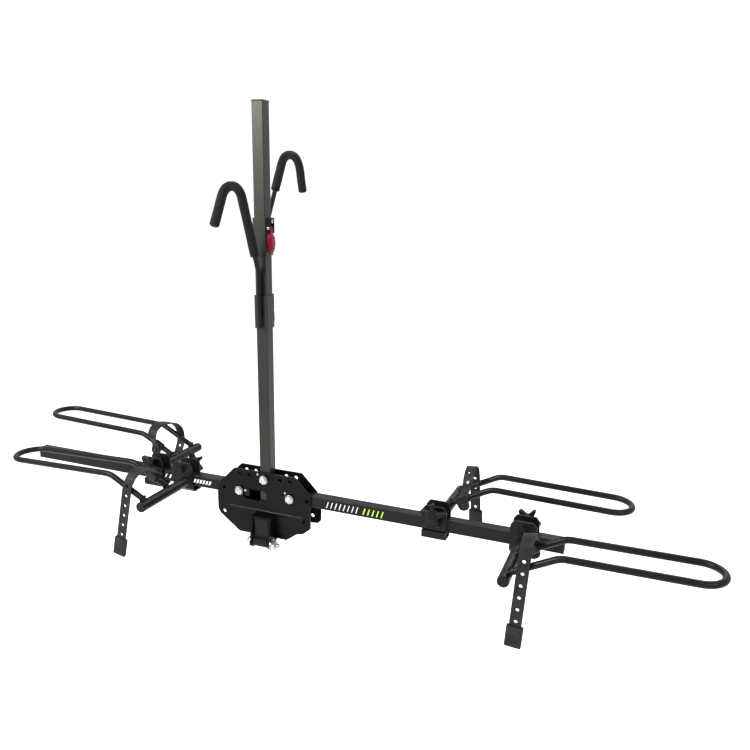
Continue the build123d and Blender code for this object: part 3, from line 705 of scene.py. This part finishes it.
def bolt(build, place, axis, head, grip, tail, flats, shank, washer):
    """A hexagon bolt, its washers and its nut; head, grip and tail are (from, to) along the axis, in mm."""
    hexed = hexagon(flats)
    corner = flats * HEX_CORNER
    build.turned(place, axis, [(head[0], flats * 0.44), (head[0] + 0.9, corner), (head[1], corner)],
                 hexed, 48)
    build.turned(place, axis, [(head[0] - 0.01, flats * 0.3), (head[0] + 0.1, flats * 0.3)], segments=24)
    soft = 0.2
    for face, way in ((grip[0], -1), (grip[1], 1)):
        rim = [(face, washer), (face + way * (WASHER_T - soft), washer)]
        rim.append((face + way * WASHER_T, washer - soft))
        build.turned(place, axis, rim[::way], segments=40)
    nut_start, nut_end = grip[1] + WASHER_T, tail[0]
    blunt = flats * 0.46
    nut = [(nut_start, blunt), (nut_start + 0.8, corner), (nut_end - 0.8, corner), (nut_end, blunt)]
    build.turned(place, axis, nut, hexed, 48)
    stations = [(head[0] + 1.0, shank)]
    along = nut_end - 1.0
    while along < tail[1] - 1.2:
        stations += [(along, shank), (along + THREAD_PITCH / 2, shank - THREAD_DEPTH)]
        along += THREAD_PITCH
    stations += [(tail[1] - 0.6, shank - 0.1), (tail[1], shank - 1.0)]
    build.turned(place, axis, stations, segments=24)


# Small bright pins beside the hub's bolts, on the outer plate, as (along the arms, height).  They stand
# where the CAD's arm bolts have the locking tabs of their washers, with one more beside the mast bolt.
PLATE_PINS = {"mast_bolt": [(-14.5, 45.0)], "arm_pivot_bolts": [(-46.0, 2.6), (52.0, 12.5)]}
PLATE_PIN = [(0.0, 2.6), (1.0, 2.6), (1.9, 1.9), (2.2, 0.8)]
ARM_PIVOT_X = 62.0


def hub_bolts():
    grip = (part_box("hub_plate_inner")[1].y - HUB.y) / MM
    for node, xs in (("mast_bolt", (0.0,)), ("arm_pivot_bolts", (-ARM_PIVOT_X, ARM_PIVOT_X))):
        low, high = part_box(node)
        first, last = (low.y - HUB.y) / MM, (high.y - HUB.y) / MM
        height = ((low.z + high.z) / 2 - HUB.z) / MM
        build = Build()
        for x in xs:
            bolt(build, hub(x, 0, height), Y, (first, -grip - WASHER_T), (-grip, grip), (last - 4.0, last),
                 flats=16.0, shank=5.0, washer=9.8)
        for x, z in PLATE_PINS[node]:
            build.turned(hub(x, -grip, z), -Y, PLATE_PIN, segments=20)
        build.make(f"{node}_set", "hub", "zinc_hardware", [node])
    low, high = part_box("tilt_bolt")
    first, last = (low.x - HUB.x) / MM, (high.x - HUB.x) / MM
    cheek = (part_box("tilt_channel")[1].x - HUB.x) / MM
    build = Build()
    place = Vector((HUB.x, (low.y + high.y) / 2, (low.z + high.z) / 2))
    bolt(build, place, X, (first, -cheek - WASHER_T), (-cheek, cheek), (last - 7.0, last),
         flats=20.0, shank=5.0, washer=12.0)
    build.make("tilt_bolt_set", "hub", "zinc_hardware", ["tilt_bolt"])


# --- wheel holders ------------------------------------------------------------------------------
CLAMP_FACE = 17.1          # outside of a clamp's walls, out from the arm's middle
CROSS_R = 11.0
HOOP_Y = 122.0
HOOP_HALF = 38.6
HOOP_ROD_R = 6.35
HOOP_FOOT_Z = 6.0
HOOP_SLOPE = 47.0 / 90.0
STRAP_HALF = 11.0
STRAP_T = 3.0
STRAP_HOLE_R = 3.2
STRAP_PITCH = 23.0
STRAP_FIRST_HOLE = 9.0
STRAP_HOLE_RIM = 5.6       # the ring of smaller faces round a hole
STRAP_BLOCK = 8.0          # half the length of band that is cut round a hole
GRIP_LONG, GRIP_HALF, GRIP_HALF_T = 40.0, 15.0, 4.5
GRIP_RIBS = (11.0, 35.0)
GRIP_RIB_PITCH = 4.8
COLLAR = [(-11.0, 6.5), (-11.0, 8.4), (-10.2, 9.2), (10.2, 9.2), (11.0, 8.4), (11.0, 6.5)]
TONGUE = [(0.0, 0.5), (0.5, 0.0), (3.8, 0.0), (4.5, 0.7), (4.5, 2.6), (3.7, 3.2)]
STUD = [(0.0, 2.6), (1.9, 2.6), (2.1, 4.2), (3.2, 4.2), (4.0, 3.2), (4.3, 1.4)]
KNOB_HUB = 6.0             # from the clamp's wall to the knob

# The straps, along the same paths as the CAD's: how far along the hoop's leg, the lean in degrees, the
# punched holes, the sideways bow of the hanging end, and the path as (out from the arm, height).
STRAPS = {
    "rear_left": {
        "offset": 40.0, "lean": 12.0, "holes": 6, "bow": 6.0,
        "path": [(75.2, 14), (75.2, 38), (104, 50), (122, 60), (144, 65),
                 (162, 57), (169, 42), (170.5, -88)],
    },
    "rear_right": {
        "offset": 31.0, "lean": -3.6, "holes": 6, "bow": 0.0,
        "path": [(75.2, 12), (75.2, 34), (108, 52), (124, 72), (146, 80),
                 (165, 66), (169.6, 40), (170.6, -85)],
    },
    "front_left": {
        "offset": 46.0, "lean": 0.0, "holes": 3, "bow": 0.0,
        "path": [(75.2, 16), (72, 38), (58, 57), (66, 75), (88, 82), (114, 78),
                 (147, 68), (170, 47), (174, 14), (163, -6), (151, -26)],
    },
    "front_right": {
        "offset": 33.0, "lean": 2.4, "holes": 8, "bow": 0.0,
        "path": [(75.2, 12), (75.2, 32), (112, 46), (122, 63), (146, 74),
                 (166, 63), (174.5, 38), (180.5, -42)],
    },
}


class Holder:
    """Places points of one wheel holder, drawn as if it were on the right arm, on the car's side."""

    def __init__(self, name):
        self.name = name
        tube = middle(f"{name}_cross_tube")
        self.side = 1 if tube.x > HUB.x else -1
        self.face = 1 if tube.y > HUB.y else -1
        self.tube_x = abs(tube.x - HUB.x) / MM
        self.clamp_x = abs(middle(f"{name}_clamp_bolt").x - HUB.x) / MM
        self.bolt_z = (middle(f"{name}_clamp_bolt").z - HUB.z) / MM

    def turn(self, v):
        return Vector((self.side * v.x, self.face * v.y, v.z))

    def hub_mm(self, v):
        return Vector((self.side * (self.tube_x + v.x), self.face * v.y, v.z))

    def place(self, v):
        return HUB + self.hub_mm(v) * MM


def leg_height(offset):
    return HOOP_FOOT_Z + HOOP_SLOPE * offset


def strap_frame(name):
    """The band's centre line, and a function that gives its width direction along it."""
    shape = STRAPS[name]
    offset = shape["offset"]
    lean = math.radians(-shape["lean"])
    pivot = Vector((offset, 0, leg_height(offset)))
    points = [Vector((offset, y, z)) for y, z in shape["path"]]
    cuts = []
    for before, corner, after in zip(points, points[1:], points[2:]):
        cuts.append(0.45 * min((corner - before).length, (after - corner).length))
    turn = Matrix.Rotation(lean, 3, "Y")
    curve = []
    low = min(point.z for point in points)
    for point in rounded_path(points, cuts):
        moved = pivot + turn @ (point - pivot)
        hang = min(max((pivot.z + 20.0 - point.z) / (pivot.z + 20.0 - low), 0.0), 1.0)
        if point.y > HOOP_Y:
            moved.x += shape["bow"] * math.sin(math.pi * hang)
        curve.append(moved)
    line = Line(curve)
    along_leg = Vector((1, 0, HOOP_SLOPE)).normalized()
    along_end = turn @ X

    def width(along):
        share = min(max(along / (0.6 * line.length), 0.0), 1.0)
        share = share * share * (3 - 2 * share)
        blend = along_leg.lerp(along_end, share)
        heading = line.heading(along, 3.0)
        return (blend - heading * blend.dot(heading)).normalized()

    return line, width


def flat_band(length, holes, cells=8):
    """A flat strip as points (along, across) and faces, with a fan of cells round each punched hole."""
    points, faces, known = [], [], {}

    def point(u, v):
        key = (round(u, 3), round(v, 3))
        if key not in known:
            known[key] = len(points)
            points.append(key)
        return known[key]

    across = [STRAP_HALF * (2 * i / cells - 1) for i in range(cells + 1)]
    block = STRAP_BLOCK
    edges = [0.0]
    for hole in sorted(holes):
        edges += [hole - block, hole + block]
    edges.append(length)
    for start, stop in zip(edges[0::2], edges[1::2]):
        count = max(1, round((stop - start) / 2.5))
        for i in range(count):
            u, w = start + (stop - start) * i / count, start + (stop - start) * (i + 1) / count
            for v, t in zip(across, across[1:]):
                faces.append((point(u, v), point(w, v), point(w, t), point(u, t)))
    for hole in holes:
        sides = [hole - block + block * i / 2 for i in range(5)]
        loop = [(u, -STRAP_HALF) for u in sides] + [(hole + block, v) for v in across[1:]]
        loop += [(u, STRAP_HALF) for u in reversed(sides[:-1])]
        loop += [(hole - block, v) for v in reversed(across[1:-1])]
        angles = [math.atan2(v, u - hole) for u, v in loop]
        rings = []
        for reach in (STRAP_HOLE_R, STRAP_HOLE_RIM):
            rings.append([(hole + reach * math.cos(a), reach * math.sin(a)) for a in angles])
        rings.append(loop)
        for inner, outer in zip(rings, rings[1:]):
            for i in range(len(loop)):
                j = (i + 1) % len(loop)
                faces.append((point(*inner[i]), point(*outer[i]), point(*outer[j]), point(*inner[j])))
    return points, faces


def strap_piece(holder):
    shape = STRAPS[holder.name]
    line, width = strap_frame(holder.name)
    holes = [line.length - STRAP_FIRST_HOLE - STRAP_PITCH * i for i in range(shape["holes"])]
    points, faces = flat_band(line.length, holes)
    build = Build()
    count = len(points)
    for face_side in (1, -1):
        for u, v in points:
            across = width(u)
            normal = line.heading(u, 3.0).cross(across)
            crown = 0.35 * (1 - (v / STRAP_HALF) ** 2)
            lift = face_side * STRAP_T / 2 + crown
            build.points.append(holder.place(line.at(u) + across * v + normal * lift))
    seen = set()
    for face in faces:
        for a, b in zip(face, face[1:] + face[:1]):
            seen.add((a, b))
    for face in faces:
        build.faces += [face, tuple(i + count for i in reversed(face))]
        for a, b in zip(face, face[1:] + face[:1]):
            if (b, a) not in seen:
                build.faces.append((b, a, a + count, b + count))
    build.make(f"{holder.name}_strap_band", f"{holder.name}_holder", "strap_rubber",
               [f"{holder.name}_wheel_strap"], bevel=0.45, smooth=40.0)
    strap_grip(holder, line, width)
    strap_buckle(holder, shape["offset"])


def strap_grip(holder, line, width):
    """The moulded free end, thicker and wider than the band, with finger ribs."""
    heading, across = line.heading(line.length, 2.0), width(line.length)
    normal = heading.cross(across)
    tip = line.at(line.length)
    rings = []
    count, sides, power = 56, 40, 0.35
    rounding = 2.5
    for i in range(count + 1):
        along = GRIP_LONG * i / count
        near_end = min(along, GRIP_LONG - along)
        soft = 1.0
        if near_end <= rounding:
            soft = 0.84 + 0.16 * math.sqrt(max(0.0, 1 - (1 - near_end / rounding) ** 2))
        rib = 1.0
        if GRIP_RIBS[0] < along < GRIP_RIBS[1]:
            rib -= 0.15 * (0.5 + 0.5 * math.cos((along - GRIP_RIBS[0]) * math.tau / GRIP_RIB_PITCH + math.pi))
        ring = []
        for k in range(sides):
            angle = math.tau * k / sides
            c, s = math.cos(angle), math.sin(angle)
            v = squared(c, power) * (GRIP_HALF - 2.0 + 2.0 * soft)
            w = squared(s, power) * GRIP_HALF_T * soft * (rib if abs(c) < 0.93 else 1.0)
            ring.append(holder.place(tip + heading * along + across * v + normal * w))
        rings.append(ring)
    build = Build()
    build.loft(rings)
    build.make(f"{holder.name}_strap_grip", f"{holder.name}_holder", "strap_rubber", smooth=40.0)


def strap_buckle(holder, offset):
    """The collar on the hoop's inner leg, and the round-ended tongue with its stud."""
    axis = Vector((1, 0, HOOP_SLOPE)).normalized()
    out, across = square_to(axis)
    leg = Vector((offset, HOOP_Y - HOOP_HALF, leg_height(offset)))
    build = Build()
    rays = []
    for i in range(32):
        angle = math.tau * i / 32
        rays.append(math.cos(angle) * out + math.sin(angle) * across)
    rings = [[holder.place(leg + axis * along + ray * radius) for ray in rays] for along, radius in COLLAR]
    build.loft(rings, capped=False)
    centre = leg + Vector((0, -HOOP_ROD_R - 0.2, 0)) - Z * 7.0
    tall = Vector((-axis.z, 0, axis.x))
    rows = []
    for depth, inset in TONGUE:
        row = []
        for k in range(64):
            angle = math.tau * k / 64
            c, s = math.cos(angle), math.sin(angle)
            power = 0.5 if s > 0 else 0.8
            u = squared(c, power) * (12.5 - inset)
            v = squared(s, power) * (16.0 - inset)
            row.append(holder.place(centre + axis * u + tall * v - Y * depth))
        rows.append(row)
    build.loft(rows)
    stud = holder.place(centre - tall * 5.0 - Y * 3.5)
    build.turned(stud, Vector((0, -holder.face, 0)), STUD)
    build.make(f"{holder.name}_strap_buckle", f"{holder.name}_holder", "strap_rubber", smooth=40.0)


LOBE_ANGLES = {"rear_left": 0.0, "rear_right": 61.0, "front_left": 54.0, "front_right": 90.0}


def star(angle, core=13.0, tip=3.6, reach=26.0, root=8.0, lobes=5):
    """The knob's radius at an angle from one of its lobes."""
    spread = math.tau / lobes
    off = abs((angle + spread / 2) % spread - spread / 2)
    tip_at = reach - tip
    x = root / (math.tan(off) + (root - tip) / tip_at)
    if x < tip_at:
        radius = x / math.cos(off)
    else:
        radius = tip_at * math.cos(off) + math.sqrt(max(0.0, tip * tip - (tip_at * math.sin(off)) ** 2))
    return max(core, radius)


KNOB_STAR = [(0.0, 0.9), (0.5, 0.2), (1.2, 0.0), (9.4, 0.0), (10.8, 0.35), (11.7, 1.1), (12.0, 2.0)]
KNOB_BOSS = [(11.6, 10.6), (11.8, 9.6), (13.6, 8.9), (14.0, 8.2), (14.0, 5.2), (12.8, 4.6)]


def knob(holder):
    """The star and its raised boss; stations are (out from the knob's base, inset or radius)."""
    lobe = math.radians(LOBE_ANGLES[holder.name])
    place = hub(holder.side * holder.clamp_x, 0, holder.bolt_z)
    axis = Vector((0, -holder.face, 0))
    right = Vector((holder.side, 0, 0))
    first = CLAMP_FACE + KNOB_HUB + 0.3
    segments = 180

    def ring(along, radius_at):
        points = []
        for i in range(segments):
            angle = math.tau * i / segments
            ray = math.cos(angle) * right + math.sin(angle) * Z
            points.append(place + (axis * (first + along) + ray * radius_at(angle)) * MM)
        return points

    rings = [ring(along, lambda angle: star(angle - lobe) - inset) for along, inset in KNOB_STAR]
    rings += [ring(along, lambda angle: radius) for along, radius in KNOB_BOSS]
    build = Build()
    build.loft(rings)
    foot = [(CLAMP_FACE + 0.2, 9.0), (CLAMP_FACE + 0.7, 9.5), (first, 9.5), (first + 0.5, 10.2)]
    build.turned(place, axis, foot, segments=40)
    name = holder.name
    build.make(f"{name}_star_knob", f"{name}_knob", "black_plastic", [f"{name}_clamp_knob"], smooth=32.0)
    clamp_stud(holder, place, -axis)


def clamp_stud(holder, place, away):
    """The clamp bolt, with threads where its end shows behind the clamp."""
    radius, root = 4.0, 3.45
    stations = [(-CLAMP_FACE - 5.0, radius), (CLAMP_FACE + 5.0, radius)]
    along = CLAMP_FACE + 5.6
    while along < CLAMP_FACE + 8.2:
        stations += [(along, radius), (along + THREAD_PITCH / 2, root)]
        along += THREAD_PITCH
    stations.append((CLAMP_FACE + 9.0, 3.3))
    build = Build()
    build.turned(place, away, stations, segments=24)
    name = holder.name
    build.make(f"{name}_clamp_stud", f"{name}_knob", "black_steel", [f"{name}_clamp_bolt"])


def holder_welds(holder):
    """Beads where the cross tube meets the clamp, and where the hoop's feet meet the cross tube."""
    build = Build()
    seed = holder.tube_x
    ring = circle(Vector((0, CLAMP_FACE + 0.4, 0)), Y, CROSS_R + 0.4)
    bead(build, [holder.hub_mm(p) for p in ring], True, 1.9, seed)
    slope = Vector((1, 0, HOOP_SLOPE)).normalized()
    foot, sag = 9.2, 1.9
    for y in (HOOP_Y - HOOP_HALF, HOOP_Y + HOOP_HALF):
        centre = Vector((foot, y, leg_height(foot)))
        ring = circle(centre, slope, HOOP_ROD_R + 0.5)
        draped = [p - X * sag * ((p.z - centre.z) / HOOP_ROD_R) ** 2 for p in ring]
        bead(build, [holder.hub_mm(p) for p in draped], True, 1.7, seed + y)
    build.make(f"{holder.name}_welds", f"{holder.name}_holder", "black_steel", smooth=60.0)


# --- stripes ------------------------------------------------------------------------------------
# Slanted bars of paint: the arm, the slot, half the height, and for each row the first bar's left edge,
# the pitch, the count and the bar's width.
STRIPES = (
    ("left_arm", "stripe_white", 4.5, ((-262.0, 12.0, 2, 4.0), (-184.0, 8.0, 6, 4.5))),
    ("right_arm", "stripe_white", 7.0, ((148.0, 9.6, 8, 2.0),)),
    ("right_arm", "stripe_lime", 7.0, ((231.0, 10.0, 5, 2.6),)),
)


def stripe(build, x0, x1, z0, z1, slant=2.2, proud=0.12):
    """A slanted bar of paint film on the face of an arm that points away from the car."""
    front = (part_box("right_arm_tube")[0].y - HUB.y) / MM
    outline = [(x0 + slant, z1), (x1 + slant, z1), (x1 - slant, z0), (x0 - slant, z0)]
    rows = []
    for depth in (-0.05, proud):
        rows.append([hub(x, front - depth, z) for x, z in outline])
    build.loft(rows)


def stripes():
    for body, slot, half_tall, rows in STRIPES:
        build = Build()
        for start, pitch, count, width in rows:
            for i in range(count):
                x0 = start + pitch * i
                stripe(build, x0, x0 + width, -half_tall, half_tall)
        build.make(f"{body}_{slot}", body, slot)


make_camera()
make_sky()
make_floor()
make_lights()
dress_frame()
for hook_name, hook_shape in HOOKS.items():
    foam_cover(hook_name, hook_shape)
    release_lever(hook_name, hook_shape)
    latch_pins(hook_name, hook_shape)
    hook_welds(hook_name, hook_shape)
hub_bolts()
for holder_name in STRAPS:
    wheel_holder = Holder(holder_name)
    strap_piece(wheel_holder)
    knob(wheel_holder)
    holder_welds(wheel_holder)
stripes()
